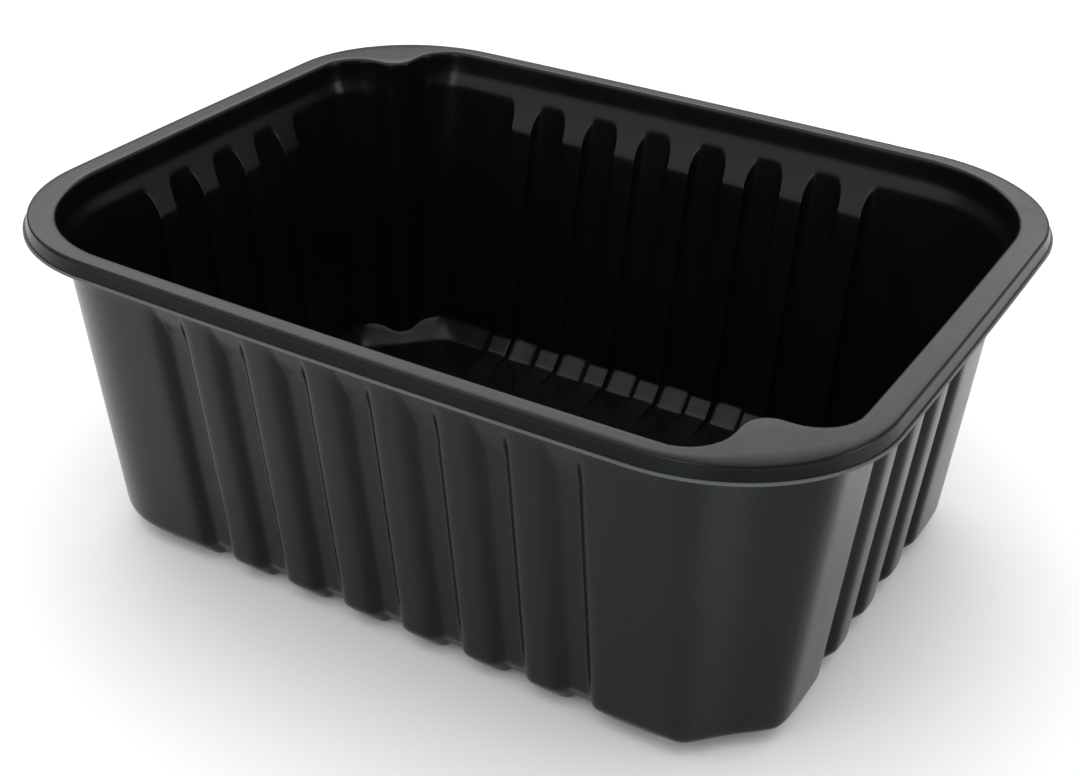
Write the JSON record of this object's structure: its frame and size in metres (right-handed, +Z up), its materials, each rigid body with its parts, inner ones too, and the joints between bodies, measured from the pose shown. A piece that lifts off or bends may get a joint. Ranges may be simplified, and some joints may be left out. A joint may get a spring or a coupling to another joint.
{
  "type": "plastic food tray",
  "caption": "Empty black plastic food tray: one thin moulding with a flat sealing rim, leaning fluted walls, two folded corners and a shallow ribbed floor.",
  "frame": {"origin": "middle of the flat underside, at the level the tray stands on", "axes": "+X along the long sides, +Y along the short sides, +Z up out of the mouth"},
  "size_m": [0.19, 0.148, 0.076],
  "materials": {
    "black_plastic": "satin, smooth as moulded"
  },
  "bodies": {
    "root": {"tray": "black_plastic"}
  },
  "joints": []
}
